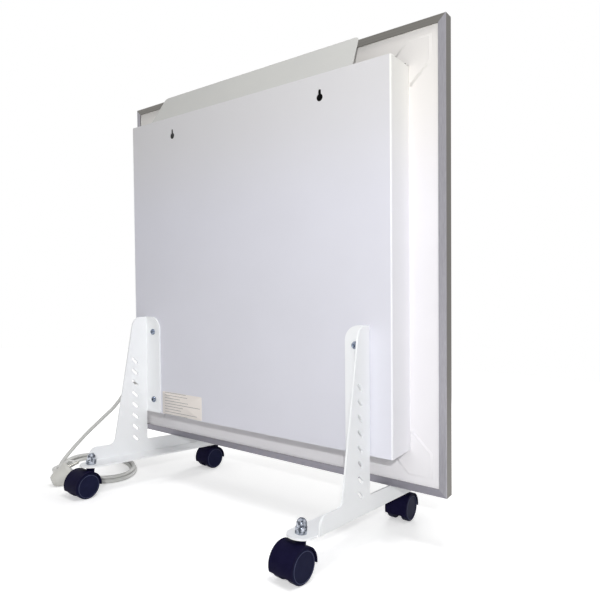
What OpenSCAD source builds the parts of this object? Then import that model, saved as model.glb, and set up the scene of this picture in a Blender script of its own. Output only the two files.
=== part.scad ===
// Infrared panel heater on a wheeled stand.
// A square radiating panel leans back a little. A sheet-metal air duct is riveted to its back,
// and two folded sheet legs hang on the duct, each with two twin-wheel swivel casters.
// X: across the heater, Y: +Y is the back of the heater, Z: up. The radiating face looks to -Y.
// Origin: on the floor, in the middle of the footprint of the heater without its cord.

/* [Panel] */
// Width of the panel over its frame
panel_w = 600; // [400:1:1200]
// Height of the panel over its frame, along the lean
panel_h = 600; // [400:1:1200]
// Thickness of the panel's frame, front to back
panel_d = 17; // [13:0.5:30]
// Lean of the panel back from the vertical, in degrees
tilt = 6; // [0:0.5:12]
// Gap between the feet and the panel's lower back edge
foot_gap = 1; // [0.5:0.5:20]

/* [Frame profile] */
// Wall of the aluminium profile
profile_t = 1.4; // [1:0.1:2.5]
// Width of the lip that covers the panel's rim, front and back
lip_w = 10; // [8:0.5:20]
// Width of the hollow chamber that takes the corner keys
chamber_w = 3.6; // [2.5:0.1:6]
// Bevel on the frame's outer back edge
frame_bevel = 0.8; // [0.2:0.1:1.2]
// Length of a corner key's arm
key_arm = 35; // [15:1:60]
// Gap around the corner keys inside the chamber
key_clearance = 0.1; // [0.05:0.05:0.3]

/* [Panel layers] */
// Thickness of the enamelled front sheet
front_t = 1; // [0.6:0.1:2]
// Thickness of the heating mat with its track
element_t = 1.2; // [0.8:0.1:2.5]
// Width of the heating track
track_w = 12; // [4:1:20]
// Distance from one row of the heating track to the next
track_pitch = 25; // [20:1:60]
// Unheated margin around the heating mat
mat_margin = 18; // [8:1:60]
// Thickness of the back pan
pan_t = 0.8; // [0.5:0.1:1.5]
// Thickness of the seal between the back pan and the frame's lip
seal_t = 1; // [0.5:0.1:2]
// Gap between the layers' edges and the frame
layer_clearance = 0.4; // [0.2:0.1:2]
// Height of the ribs pressed into the back pan's corners
rib_h = 0.8; // [0.3:0.1:1.2]
// Width of a pressed corner rib, across its diagonal
rib_w = 40; // [15:1:80]
// Distance from the panel's edge to a rib's corner
rib_edge = 23; // [14:1:60]

/* [Duct cover] */
// Width of the duct cover
cover_w = 500; // [350:1:900]
// Height of the duct cover without its flap
cover_h = 494; // [350:1:900]
// Height of the cover's lower edge above the panel's lower edge
cover_bottom = 52.5; // [30:0.5:120]
// Distance from the frame's back to the cover's back face
cover_d = 48; // [30:1:90]
// Thickness of the cover's sheet
cover_t = 1; // [0.6:0.1:2]
// Outside radius of the cover's folds
cover_fold_r = 2; // [1.5:0.5:6]
// Width of the inward flange that is riveted to the back pan
cover_flange_w = 14; // [10:1:30]
// Length of the air deflector flap at the top
flap_len = 53.5; // [20:0.5:100]
// Width of the flap at its fold
flap_w = 394; // [200:1:480]
// How much narrower the flap is at its free edge, on each side
flap_taper = 6; // [0:1:30]
// Forward bend of the flap, in degrees
flap_angle = 30; // [0:1:60]
// Corner radius of the flap
flap_corner_r = 7; // [1:1:20]
// Number of blind rivets along each side of the cover
rivet_count = 5; // [3:1:10]
// Diameter of a blind rivet's shank
rivet_d = 3.2; // [2.4:0.1:4.8]

/* [Wall keyholes] */
// Distance between the two keyholes
keyhole_spacing = 292; // [150:1:400]
// Height of a keyhole's round opening above the panel's lower edge
keyhole_z = 516; // [300:1:800]
// Diameter of a keyhole's round opening
keyhole_d = 10; // [7:0.5:14]
// Width of a keyhole's slot
keyhole_slot_w = 4.6; // [3:0.1:8]
// Rise from the round opening to the end of the slot
keyhole_rise = 8.5; // [6:0.5:20]

/* [Legs] */
// Distance between the outer faces of the two legs
leg_spacing = 440; // [300:1:480]
// Thickness of the folded leg sheet
leg_t = 2.5; // [1.5:0.1:4]
// Inside radius of the leg's folds
leg_fold_in = 1; // [0.5:0.5:4]
// Width of the leg's flanges, measured from the leg's outer face
leg_flange_w = 36; // [28:1:60]
// Height of the flange's top above the panel's lower edge
leg_top = 217; // [160:1:400]
// Depth of the leg behind the cover, at its top
leg_top_w = 28; // [22:1:80]
// Depth of the leg where it meets the foot
leg_base_w = 66; // [40:1:120]
// Radius of the leg's top corner
leg_corner_r = 16; // [2:1:25]
// Radius of the flange's top corner
flange_corner_r = 20; // [2:1:28]
// Height of the foot
foot_h = 23; // [16:1:50]
// Distance from the panel's lower back edge to the back casters' stems
foot_back = 170.4; // [120:0.1:300]
// Distance from the panel's lower back edge to the front casters' stems
foot_front = 97.6; // [60:0.1:200]
// Distance from a stem to the end of the foot's upright wall
wall_end = 8; // [4:1:30]
// Radius of the foot wall's end corners
foot_corner_r = 12; // [2:1:16]
// Number of slots in each leg
slot_count = 8; // [3:1:12]
// Distance from one slot to the next
slot_pitch = 18.8; // [10:0.1:30]
// Length of a slot
slot_len = 15; // [6:1:25]
// Width of a slot
slot_w = 4; // [2:0.5:8]
// Height of the lowest slot's centre above the panel's lower edge
slot_first = 11.5; // [8:0.5:60]
// Distance of the slots' centres behind the cover
slot_back = 27; // [12:1:50]

/* [Leg screws] */
// Height of the lower leg screw above the panel's lower edge
screw_low = 75.5; // [65:0.5:120]
// Distance between the two screws of a leg
screw_pitch = 116; // [50:1:250]
// Distance from the leg's outer face to its screws
screw_in = 20.5; // [14:0.5:30]
// Thread diameter of the leg screws
screw_d = 5; // [4:0.5:6]
// Diameter of a screw's head
screw_head_d = 10; // [7:0.5:12]
// Height of a screw's head
screw_head_h = 3.4; // [2:0.1:5]
// Clearance of a screw in the leg's hole, on the radius
screw_clearance = 0.35; // [0.3:0.05:1]

/* [Casters] */
// Height from the floor to the foot's underside
caster_h = 45; // [43.5:0.5:80]
// Diameter of a caster wheel
wheel_d = 38; // [30:0.5:39]
// Width of one caster wheel
wheel_w = 9.7; // [6:0.1:14]
// Distance from the swivel axis to the wheels' axle
trail = 11; // [8:0.5:16]
// Diameter of the caster's neck, and thickness of the web between the wheels
neck_d = 12; // [10.5:0.1:14]
// Gap between a wheel and the hood's web
wheel_gap = 0.3; // [0.3:0.1:1]
// Gap between a wheel's tread and the hood
hood_gap = 0.6; // [0.4:0.1:2]
// Thickness of the hood
hood_t = 1.8; // [1:0.1:2.4]
// How far the hood stands out beyond a wheel's face
hood_over = 0.7; // [0.3:0.1:3]
// Diameter of the caster stud
stud_d = 8; // [6:0.5:9]
// Diameter of the stud's collar under the foot
collar_d = 13; // [12:0.5:20]
// Thickness of the stud's collar
collar_t = 1.5; // [1:0.1:3]
// Diameter of the axle
axle_d = 5; // [3:0.5:7]
// Running clearance of the swivel and of the wheels, on the radius
running_clearance = 0.05; // [0.02:0.01:0.09]
// Width across the flats of the cap nut
nut_flats = 13; // [12:0.5:17]
// Height of the cap nut
nut_h = 17; // [14:0.5:22]
// How far the back left caster has turned, in degrees
back_left_turn = 5; // [0:1:45]
// How far the front right caster has turned, in degrees
front_right_turn = 6; // [0:1:45]

/* [Supply cord] */
// Diameter of the supply cord
cord_d = 6.5; // [5:0.1:10]
// Height of the cord's outlet above the panel's lower edge
outlet_z = 92; // [80:1:200]
// Distance of the cord's outlet behind the frame's back
outlet_y = 22; // [15:1:30]
// Length of the tapered strain relief outside the cover
relief_len = 30; // [20:1:60]

/* [Hidden] */
$fn = 96;
eps = 0.01;

// Depth of each layer in the panel's own frame, where the frame's back is at 0
front_face = -panel_d + profile_t;
front_back = front_face + front_t;
mat_back = front_back + element_t;
pan_back = -profile_t - seal_t;
pan_front = pan_back - pan_t;
// Distance from the panel's outer edge to the chamber's inner wall and to the layers
chamber_end = profile_t + chamber_w;
layer_edge = chamber_end + profile_t + layer_clearance;
layer_w = panel_w - 2 * layer_edge;
layer_h = panel_h - 2 * layer_edge;

// Cover
cover_top = cover_bottom + cover_h;
rivet_x = cover_w / 2 - cover_flange_w / 2;
rivet_r = rivet_d / 2;
rivet_head_d = 2 * rivet_d;
rivet_bulb_d = 1.4 * rivet_d;
rivet_bulb_len = 3;
rivet_hole_clearance = 0.05;

// Casters
wheel_r = wheel_d / 2;
hood_r = wheel_r + hood_gap + hood_t;
wheel_face_t = 1.6;
wheel_edge_r = 2;
half_pair = neck_d / 2 + wheel_gap + wheel_w;
hood_w = 2 * (half_pair + hood_over);
stem_x = leg_spacing / 2 - (leg_flange_w + leg_t + leg_fold_in) / 2;
tongue_r = stem_x - (leg_spacing / 2 - leg_flange_w);

// The panel's place: its lower back edge, so that the footprint is centred on Y = 0
back_reach = foot_back + (trail + hood_r) * cos(back_left_turn) + hood_w / 2 * sin(back_left_turn);
front_reach = foot_front + tongue_r;
edge_y = (front_reach - back_reach) / 2;
foot_z = caster_h;
foot_top = foot_z + foot_h;
edge_z = foot_top + foot_gap;
stem_back = edge_y + foot_back;
stem_front = edge_y - foot_front;

// Leg
leg_fold_out = leg_t + leg_fold_in;
leg_out = leg_spacing / 2;
flange_in = leg_out - leg_flange_w;
fold_x = leg_out - leg_fold_out;
flange_bottom = cover_bottom + cover_t;
screw_x = leg_out - screw_in;
screw_heights = [screw_low, screw_low + screw_pitch];
nut_body_d = 1.9 * screw_d;
nut_body_h = 4;
nut_spigot_d = 1.4 * screw_d;
stud_hole_clearance = 0.35;
stud_grip = 9;
stud_low = wheel_r + 1;
stud_gap = 0.3;

// Cord outlet and inner parts
relief_base_d = 2 * cord_d;
relief_tip_d = cord_d + 3;
wall_hole_d = cord_d + 3;
block_size = [38, 16, 17];
block_inset = 62;
block_x = cover_w / 2 - block_inset;
wire_r = 1.1;
core_r = 0.9;
cutout_step = [60, 45];
cutout_x = block_x - cutout_step[0];
cutout_z = outlet_z + cutout_step[1];
lead_step = [30, 70];
lead_x = block_x - lead_step[0];
lead_z = outlet_z + lead_step[1];
lead_hole_d = 9;
earth_step = [10, 24];
earth_x = block_x + earth_step[0];
earth_z = outlet_z - earth_step[1];
earth_d = 4;
earth_reach = 3;

// Plug: place of its face, its lean and its turn on the floor
plug_at = [270, 117, 19.1];
plug_lean = 22.6;
plug_turn = 256;
plug_face_r = 18.5;
plug_rim_t = 5;
plug_grip_r = 11;
plug_end_r = 8;
plug_len = 27.5;
plug_stub_len = 20;
plug_entry = [-12, 36, 0];
pin_d = 4.8;
pin_root_d = 4;
pin_root_len = 11;
pin_len = 19;
pin_spacing = 19;

// Coil of spare cord on the floor: an oval ring that holds three turns
coil_at = [314, 30];
coil_turn = -25.5;
coil_out = [92, 62.5];
coil_w = 14;
coil_h = 9.8;
tie_angle = 62;

// Route of the cord from the outlet down to the coil, and from the coil to the plug
drop_route = [
    [296, -12, 154], [305, -7, 143], [312, -1, 126], [322, 6, 108], [338, 18, 87], [357, 32, 61],
    [370, 44, 40], [378, 55, 23], [379, 66, 11], [372, 76, 6], [361, 83, 5], [348, 86, 5]
];
tail_route = [
    [361, 70, 5], [354, 79, 5], [347, 89, 5.5], [339, 99, 8], [329, 108, 12]
];
cord_sides = 10;
wire_sides = 8;

// ---- Helpers ----

// A point of the leaning panel's frame, in the heater's frame
function from_panel(p) = [
    p[0],
    p[1] * cos(tilt) + p[2] * sin(tilt) + edge_y,
    -p[1] * sin(tilt) + p[2] * cos(tilt) + edge_z
];

// The same for a leg's side view, where only depth and height matter
function side_view(y, z) = let (p = from_panel([0, y, z])) [p[1], p[2]];

module in_panel() {
    translate([0, edge_y, edge_z]) rotate([-tilt, 0, 0]) children();
}

// A box between two corners
module block(low, high) {
    translate(low) cube(high - low);
}

// An outline with rounded corners, from points [x, y, radius]
function unit(v) = v / norm(v);
function turn_to(a, b) = let (d = b - a) d > 180 ? d - 360 : (d < -180 ? d + 360 : d);
function corner(a, p, b, r, steps) =
    let (
        u = unit(a - p),
        v = unit(b - p),
        half = acos(u * v) / 2,
        centre = p + unit(u + v) * r / sin(half),
        first = p + u * r / tan(half) - centre,
        last = p + v * r / tan(half) - centre,
        start = atan2(first[1], first[0]),
        sweep = turn_to(start, atan2(last[1], last[0]))
    )
    [for (i = [0:steps]) centre + r * [cos(start + sweep * i / steps), sin(start + sweep * i / steps)]];

function rounded(points) =
    let (n = len(points), flat = [for (p = points) [p[0], p[1]]])
    [
        for (i = [0:n - 1])
            each points[i][2] > 0
                ? corner(flat[(i + n - 1) % n], flat[i], flat[(i + 1) % n], points[i][2], 10)
                : [flat[i]]
    ];

// A plate in the XZ plane whose back face is at depth y
module upright_plate(points, y, thick) {
    translate([0, y, 0]) rotate([90, 0, 0]) linear_extrude(thick) polygon(points);
}

// A cylinder that starts at depth y and runs towards +Y
module back_cylinder(x, y, z, d, len) {
    translate([x, y, z]) rotate([-90, 0, 0]) cylinder(d = d, h = len);
}

// A smooth curve through the points, and a round tube along it
function spline(a, b, c, d, t) =
    0.5 * (2 * b + (c - a) * t + (2 * a - 5 * b + 4 * c - d) * t * t + (3 * b - a - 3 * c + d) * t * t * t);

function smooth(points, steps) =
    let (n = len(points))
    [
        for (i = [0:n - 2], k = [0:steps - 1])
            spline(points[max(i - 1, 0)], points[i], points[i + 1], points[min(i + 2, n - 1)], k / steps),
        points[n - 1]
    ];

function tangent(path, i) = unit(path[min(i + 1, len(path) - 1)] - path[max(i - 1, 0)]);

module tube(path, r, sides, across) {
    rings = len(path);
    points = [
        for (i = [0:rings - 1])
            let (t = tangent(path, i), u = unit(cross(across, t)), v = cross(t, u))
            for (j = [0:sides - 1])
                path[i] + r * (u * cos(360 * j / sides) + v * sin(360 * j / sides))
    ];
    faces = [
        [for (j = [0:sides - 1]) j],
        for (i = [0:rings - 2], j = [0:sides - 1])
            each let (
                a = i * sides + j,
                b = i * sides + (j + 1) % sides,
                c = a + sides,
                d = b + sides
            )
            [[a, c, d], [a, d, b]],
        [for (j = [sides - 1:-1:0]) (rings - 1) * sides + j]
    ];
    polyhedron(points, faces);
}

// ---- Panel ----

// Frame profile: x is the depth, y the distance in from the panel's edge
module profile() {
    difference() {
        union() {
            translate([-panel_d, 0]) square([panel_d, profile_t]);
            translate([-panel_d, 0]) square([profile_t, lip_w]);
            translate([-profile_t, 0]) square([profile_t, lip_w]);
            translate([-panel_d, chamber_end]) square([panel_d, profile_t]);
        }
        rotate(45) square(frame_bevel * sqrt(2), center = true);
    }
}

// A mitred bar along X with its outer edge at z = 0
module frame_bar(length) {
    intersection() {
        translate([-length / 2, 0, 0]) rotate([90, 0, 90]) linear_extrude(length) profile();
        upright_plate(
            [[-length / 2, 0], [length / 2, 0], [length / 2 - lip_w, lip_w], [lip_w - length / 2, lip_w]],
            eps, panel_d + 2 * eps
        );
    }
}

module frame_bottom() {
    color("#b2b0b8") in_panel() frame_bar(panel_w);
}

module frame_top() {
    color("#8e8d96") in_panel() translate([0, 0, panel_h]) mirror([0, 0, 1]) frame_bar(panel_w);
}

module side_bar() {
    translate([-panel_w / 2, 0, panel_h / 2]) rotate([0, 90, 0]) frame_bar(panel_h);
}

module frame_left() {
    color("#b2b0b8") in_panel() side_bar();
}

module frame_right() {
    color("#b2b0b8") in_panel() mirror([1, 0, 0]) side_bar();
}

// An angle key that joins two bars, in the lower left corner
module corner_key() {
    edge = profile_t;
    arm = chamber_w - 2 * key_clearance;
    front = front_face + key_clearance;
    back = -profile_t - key_clearance;
    translate([-panel_w / 2, 0, 0]) {
        block([edge, front, edge], [edge + key_arm, back, edge + arm]);
        block([edge, front, edge], [edge + arm, back, edge + key_arm]);
    }
}

module corner_keys() {
    color("#9a9a9a") in_panel() for (right = [0, 1], top = [0, 1]) {
        mirror([right, 0, 0]) translate([0, 0, top * panel_h]) mirror([0, 0, top]) corner_key();
    }
}

module layer(front, back, inset) {
    block(
        [-layer_w / 2 + inset, front, layer_edge + inset],
        [layer_w / 2 - inset, back, panel_h - layer_edge - inset]
    );
}

module front_panel() {
    color("#ecebea") in_panel() layer(front_face, front_back, 0);
}

// Heating mat: a carrier foil with one long track that runs to and fro
module heating_mat() {
    foil_back = front_back + element_t / 2;
    mat_w = layer_w - 2 * mat_margin;
    low = layer_edge + mat_margin + track_w;
    rows = floor((layer_h - 2 * mat_margin - 2 * track_w) / track_pitch);
    reach = mat_w / 2 - track_w;
    color("#3a3632") in_panel() {
        layer(front_back, foil_back, mat_margin);
        for (i = [0:rows]) {
            block([-reach, foil_back, low + i * track_pitch - track_w / 2],
                  [reach, mat_back, low + i * track_pitch + track_w / 2]);
        }
        for (i = [0:rows - 1]) {
            side = i % 2 == 0 ? reach - track_w : -reach;
            block([side, foil_back, low + i * track_pitch],
                  [side + track_w, mat_back, low + (i + 1) * track_pitch]);
        }
    }
}

module rivet_places() {
    for (side = [-1, 1], i = [0:rivet_count - 1]) {
        translate([side * rivet_x, 0, cover_bottom + cover_h * (i + 0.5) / rivet_count]) children();
    }
}

module insulation_board() {
    color("#d9cfae") in_panel() difference() {
        layer(mat_back, pan_front, 0);
        rivet_places() {
            back_cylinder(0, pan_front - rivet_bulb_len - 1, 0, rivet_bulb_d + 1, rivet_bulb_len + 2);
        }
        back_cylinder(lead_x, mat_back - 1, lead_z, lead_hole_d, panel_d);
        back_cylinder(earth_x, pan_front - earth_reach - 1, earth_z, earth_d + 1, earth_reach + 2);
    }
}

// A pressed rib along the diagonal of the lower left corner, made smaller by shrink for its hollow.
// It ends where the duct cover begins.
module corner_rib(shrink) {
    low = rib_edge + shrink;
    half = rib_w / sqrt(2) - shrink * (sqrt(2) - 1);
    reach = cover_bottom + rib_w;
    difference() {
        polygon([
            [low, low], [low + half, low], [low + half + reach, low + reach],
            [low + reach, low + half + reach], [low, low + half]
        ]);
        translate([(panel_w - cover_w) / 2 - 1 - shrink, cover_bottom - 1 - shrink]) square(reach * 2);
    }
}

module rib_places() {
    for (right = [0, 1], top = [0, 1]) {
        mirror([right, 0, 0])
            translate([-panel_w / 2, 0, top * panel_h])
                mirror([0, 0, top])
                    rotate([90, 0, 0]) children();
    }
}

module back_pan() {
    color("#f1f1f3") in_panel() difference() {
        union() {
            layer(pan_front, pan_back, 0);
            rib_places() translate([0, 0, -pan_back - rib_h]) linear_extrude(rib_h + pan_t / 2) corner_rib(0);
        }
        rib_places() translate([0, 0, -pan_back]) linear_extrude(pan_t + 1) corner_rib(pan_t);
        rivet_places() {
            back_cylinder(0, pan_front - 1, 0, rivet_d + 2 * rivet_hole_clearance, pan_t + 2);
        }
        back_cylinder(lead_x, pan_front - 1, lead_z, lead_hole_d, pan_t + 2);
        back_cylinder(earth_x, pan_front - 1, earth_z, earth_d + 2 * rivet_hole_clearance, pan_t + 2);
    }
}

module pan_seal() {
    strip = lip_w - layer_edge - 0.2;
    color("#e6e6e6") in_panel() difference() {
        layer(pan_back, -profile_t, 0);
        layer(pan_back - 1, 0, strip);
    }
}

// ---- Duct cover ----

// The cover's channel from above, open towards the panel
module channel(width, depth, r) {
    translate([-width / 2, pan_back]) square([width, depth - r]);
    translate([-width / 2 + r, pan_back]) square([width - 2 * r, depth]);
    for (side = [-1, 1]) {
        translate([side * (width / 2 - r), pan_back + depth - r]) circle(r);
    }
}

module keyhole(x) {
    front = cover_d - cover_t - 1;
    through = cover_t + 2;
    back_cylinder(x, front, keyhole_z, keyhole_d, through);
    back_cylinder(x, front, keyhole_z + keyhole_rise, keyhole_slot_w, through);
    block([x - keyhole_slot_w / 2, front, keyhole_z],
          [x + keyhole_slot_w / 2, front + through, keyhole_z + keyhole_rise]);
}

// The cover is folded from one sheet. Its back, its two sides and its flap meet at the folds' ends.
module cover_back() {
    half = cover_w / 2 - cover_fold_r;
    color("#dcdce6") in_panel() difference() {
        block([-half, cover_d - cover_t, cover_bottom], [half, cover_d, cover_top]);
        keyhole(-keyhole_spacing / 2);
        keyhole(keyhole_spacing / 2);
        for (side = [-1, 1], z = screw_heights) {
            back_cylinder(side * screw_x, cover_d - cover_t - 1, z, nut_spigot_d, cover_t + 2);
        }
    }
}

// The right side wall, with its fold to the back and the flange that is riveted to the pan
module cover_side() {
    depth = cover_d - pan_back;
    difference() {
        union() {
            translate([0, 0, cover_bottom]) linear_extrude(cover_h) intersection() {
                difference() {
                    channel(cover_w, depth, cover_fold_r);
                    translate([0, -eps]) {
                        channel(cover_w - 2 * cover_t, depth - cover_t + eps, cover_fold_r - cover_t);
                    }
                }
                translate([cover_w / 2 - cover_fold_r, pan_back - 1]) square([cover_fold_r + 1, depth + 2]);
            }
            block(
                [cover_w / 2 - cover_flange_w, pan_back, cover_bottom],
                [cover_w / 2 - cover_t / 2, pan_back + cover_t, cover_top]
            );
        }
        rivet_places() {
            back_cylinder(0, pan_back - 1, 0, rivet_d + 2 * rivet_hole_clearance, cover_t + 2);
        }
    }
}

module cover_side_left() {
    color("#dcdce6") in_panel() mirror([1, 0, 0]) cover_side();
}

module cover_side_right() {
    color("#dcdce6") in_panel() difference() {
        cover_side();
        translate([cover_w / 2 - cover_t - 1, outlet_y, outlet_z]) rotate([0, 90, 0]) {
            cylinder(d = wall_hole_d, h = cover_t + 2);
        }
    }
}

// Air deflector, bent forward from the top edge of the cover's back
module cover_flap() {
    half = flap_w / 2;
    tip = half - flap_taper;
    color("#dcdce6") in_panel() difference() {
        translate([0, cover_d, cover_top]) rotate([flap_angle, 0, 0]) upright_plate(
            rounded([
                [-half, -cover_t, 0], [half, -cover_t, 0],
                [tip, flap_len, flap_corner_r], [-tip, flap_len, flap_corner_r]
            ]), 0, cover_t
        );
        block([-cover_w, -cover_d, 0], [cover_w, cover_d * 2, cover_top]);
    }
}

// Blind rivets through the cover's flanges and the back pan
module cover_rivets() {
    grip = cover_t + pan_t;
    color("#b9bcc2") in_panel() rivet_places() {
        back_cylinder(0, pan_front - rivet_bulb_len, 0, rivet_bulb_d, rivet_bulb_len);
        back_cylinder(0, pan_front - eps, 0, rivet_d, grip + 2 * eps);
        back_cylinder(0, pan_back + cover_t, 0, rivet_head_d, rivet_r / 2);
    }
}

// Clinch nuts pressed into the cover from inside, one for each leg screw
module clinch_nuts() {
    color("#b9bcc2") in_panel() for (side = [-1, 1], z = screw_heights) {
        difference() {
            union() {
                back_cylinder(side * screw_x, cover_d - cover_t - nut_body_h, z, nut_body_d, nut_body_h);
                back_cylinder(side * screw_x, cover_d - cover_t - eps, z, nut_spigot_d, cover_t + eps);
            }
            back_cylinder(
                side * screw_x, cover_d - cover_t - nut_body_h - 1, z,
                screw_d + 2 * running_clearance, nut_body_h + cover_t + 2
            );
        }
    }
}

// ---- Electrical parts inside the duct ----

module terminal_block() {
    low = [block_x - block_size[0] / 2, pan_back, outlet_z - block_size[2] / 2];
    well_d = 7;
    well_depth = 6;
    wire_hole_d = 4;
    color("#e9e4d6") in_panel() difference() {
        block(low, low + block_size);
        for (i = [0:2]) {
            x = low[0] + block_size[0] * (i + 0.5) / 3;
            back_cylinder(x, pan_back + block_size[1] - well_depth, outlet_z, well_d, well_depth + 1);
            translate([x, pan_back + block_size[1] / 2, low[2] - 1]) {
                cylinder(d = wire_hole_d, h = block_size[2] + 2);
            }
        }
    }
}

// Bimetal cut-out: a disc in a cup, with a foot plate and two flat terminals
module thermal_cutout() {
    plate = [24, 1.2, 10];
    cup_d = 16;
    cup_h = 9;
    tab = [0.8, 8, 6];
    tab_x = 5;
    base = [cutout_x, pan_back, cutout_z];
    color("#c9c4b8") in_panel() {
        back_cylinder(cutout_x, pan_back + plate[1] / 2, cutout_z, cup_d, cup_h - plate[1] / 2);
        block(base - [plate[0] / 2, 0, plate[2] / 2], base + [plate[0] / 2, plate[1], plate[2] / 2]);
        for (side = [-1, 1]) {
            foot = base + [side * tab_x, cup_h - 1, 0];
            block(foot - [tab[0] / 2, 0, tab[2] / 2], foot + [tab[0] / 2, tab[1], tab[2] / 2]);
        }
    }
}

module lead_grommet() {
    flange_d = lead_hole_d + 5;
    flange_t = 2;
    color("#4a4a4a") in_panel() difference() {
        union() {
            back_cylinder(lead_x, pan_back, lead_z, flange_d, flange_t);
            back_cylinder(lead_x, pan_front - 1, lead_z, lead_hole_d, pan_t + 2);
        }
        back_cylinder(lead_x, pan_front - 2, lead_z, 4 * wire_r + 2, 6);
    }
}

module earth_screw() {
    washer_d = 9;
    washer_t = 1;
    head_d = 7;
    head_h = 2.5;
    color("#c8b27a") in_panel() {
        back_cylinder(earth_x, pan_front - earth_reach, earth_z, earth_d, earth_reach + pan_t + washer_t);
        back_cylinder(earth_x, pan_back, earth_z, washer_d, washer_t);
        back_cylinder(earth_x, pan_back + washer_t, earth_z, head_d, head_h);
    }
}

// Cores from the block to the cut-out, to the heating mat and to the earth screw
module internal_wires() {
    mid = pan_back + block_size[1] / 2;
    top = outlet_z + block_size[2] / 2;
    low = outlet_z - block_size[2] / 2;
    step = block_size[0] / 3;
    flat = [0, 1, 0.05];
    wire_gap = 1.7;
    color("#b5533c") in_panel() {
        tube(smooth([
            [block_x - step, mid, top - 3], [block_x - step, mid, top + 12],
            [block_x - step - 12, mid + 4, top + 24], [cutout_x + 14, pan_back + 14, cutout_z],
            [cutout_x + 6, pan_back + 14, cutout_z]
        ], 4), wire_r, wire_sides, flat);
        tube(smooth([
            [cutout_x - 6, pan_back + 14, cutout_z], [cutout_x - 14, pan_back + 14, cutout_z + 4],
            [cutout_x - 12, pan_back + 13, cutout_z + 22], [cutout_x + 12, pan_back + 12, cutout_z + 32],
            [lead_x - wire_gap, pan_back + 9, lead_z + 3], [lead_x - wire_gap, pan_back + 3, lead_z],
            [lead_x - wire_gap, mat_back + 0.2, lead_z]
        ], 4), wire_r, wire_sides, [0.3, 0.2, 1]);
        tube(smooth([
            [block_x, mid, top - 3], [block_x, mid, top + 16], [block_x - 10, mid + 2, top + 40],
            [lead_x + wire_gap, pan_back + 9, lead_z - 4], [lead_x + wire_gap, pan_back + 3, lead_z],
            [lead_x + wire_gap, mat_back + 0.2, lead_z]
        ], 4), wire_r, wire_sides, [1, 0.1, 0.2]);
        tube(smooth([
            [block_x + step, mid, low + 3], [block_x + step, mid, low - 5],
            [block_x + step, pan_back + 4, low - 12], [earth_x + 4, pan_back + 2.2, earth_z]
        ], 4), wire_r, wire_sides, [1, 0.1, 0.2]);
        for (i = [-1:1]) {
            tube(smooth([
                [block_x + i * step, mid, low + 3 + (i < 1 ? 0 : block_size[2] - 6)],
                [block_x + i * step + 3, mid + 4, i < 1 ? low - 5 : top + 5],
                [cover_w / 2 - 34, outlet_y - 4, outlet_z + (i < 1 ? -8 + 5 * i : 9)],
                [cover_w / 2 - 24, outlet_y, outlet_z + 2 * i],
                [cover_w / 2 - 16, outlet_y, outlet_z + 2 * i]
            ], 4), core_r, wire_sides, [0, 1, 0.3]);
        }
    }
}

// ---- Cord outlet ----

// Tapered bend protector with a threaded end through the cover's side wall
module strain_relief() {
    thread_len = cover_t + 8;
    washer_t = 2.5;
    slits = 5;
    slit_w = 1.6;
    slit_pitch = (relief_len - washer_t - slit_w) / (slits + 1);
    core_d = relief_tip_d - 1;
    color("#e4e4e2") in_panel() translate([cover_w / 2, outlet_y, outlet_z]) rotate([0, 90, 0]) {
        difference() {
            union() {
                translate([0, 0, -thread_len]) cylinder(d = wall_hole_d, h = thread_len + eps);
                cylinder(d = relief_base_d + 4, h = washer_t);
                cylinder(d1 = relief_base_d, d2 = relief_tip_d, h = relief_len);
            }
            translate([0, 0, -thread_len - 1]) cylinder(d = cord_d + 0.2, h = relief_len + thread_len + 2);
            for (i = [1:slits]) {
                translate([0, 0, washer_t + i * slit_pitch]) difference() {
                    cylinder(r = relief_base_d, h = slit_w);
                    translate([0, 0, -1]) cylinder(d = core_d, h = slit_w + 2);
                }
            }
        }
    }
}

module relief_nut() {
    nut_t = 4;
    nut_across = wall_hole_d + 7;
    color("#e4e4e2") in_panel() translate([cover_w / 2 - cover_t - nut_t, outlet_y, outlet_z]) {
        rotate([0, 90, 0]) difference() {
            cylinder(d = nut_across, h = nut_t, $fn = 6);
            translate([0, 0, -1]) cylinder(d = wall_hole_d, h = nut_t + 2);
        }
    }
}

cord_start = from_panel([cover_w / 2 - 20, outlet_y, outlet_z]);
cord_exit = from_panel([cover_w / 2 + relief_len, outlet_y, outlet_z]);

// The plug's own frame: pins along its X, cord entry along its Y
module at_plug() {
    translate(plug_at) rotate([0, -plug_lean, plug_turn]) children();
}
function plug_point(p) =
    let (
        a = plug_lean,
        b = plug_turn,
        q = [p[0] * cos(a) - p[2] * sin(a), p[1], p[0] * sin(a) + p[2] * cos(a)]
    )
    plug_at + [q[0] * cos(b) - q[1] * sin(b), q[0] * sin(b) + q[1] * cos(b), q[2]];

module supply_cord() {
    color("#d4d2cc") {
        tube(
            concat([cord_start, cord_exit], smooth(concat(
                [cord_exit + [4, 0, 0]], drop_route
            ), 5)),
            cord_d / 2, cord_sides, [-0.45, 0.8, 0.3]
        );
        tube(
            smooth(concat(tail_route, [
                plug_point(plug_entry + [0, 6, 0]), plug_point(plug_entry - [0, 4, 0])
            ]), 4),
            cord_d / 2, cord_sides, [0.1, 0.2, 1]
        );
    }
}

// Three turns of spare cord as one oval ring
module coil_outline(inset) {
    polygon([
        for (i = [0:71])
            [(coil_out[0] - inset) * cos(5 * i), (coil_out[1] - inset) * sin(5 * i)]
    ]);
}

module cord_coil() {
    color("#d4d2cc") translate([coil_at[0], coil_at[1], 0]) rotate(coil_turn) {
        for (i = [0:2]) {
            // The middle third is the widest
            inset = i == 1 ? 0 : 1.4;
            translate([0, 0, coil_h * i / 3]) linear_extrude(coil_h / 3) difference() {
                coil_outline(inset);
                coil_outline(coil_w - inset);
            }
        }
    }
}

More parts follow.
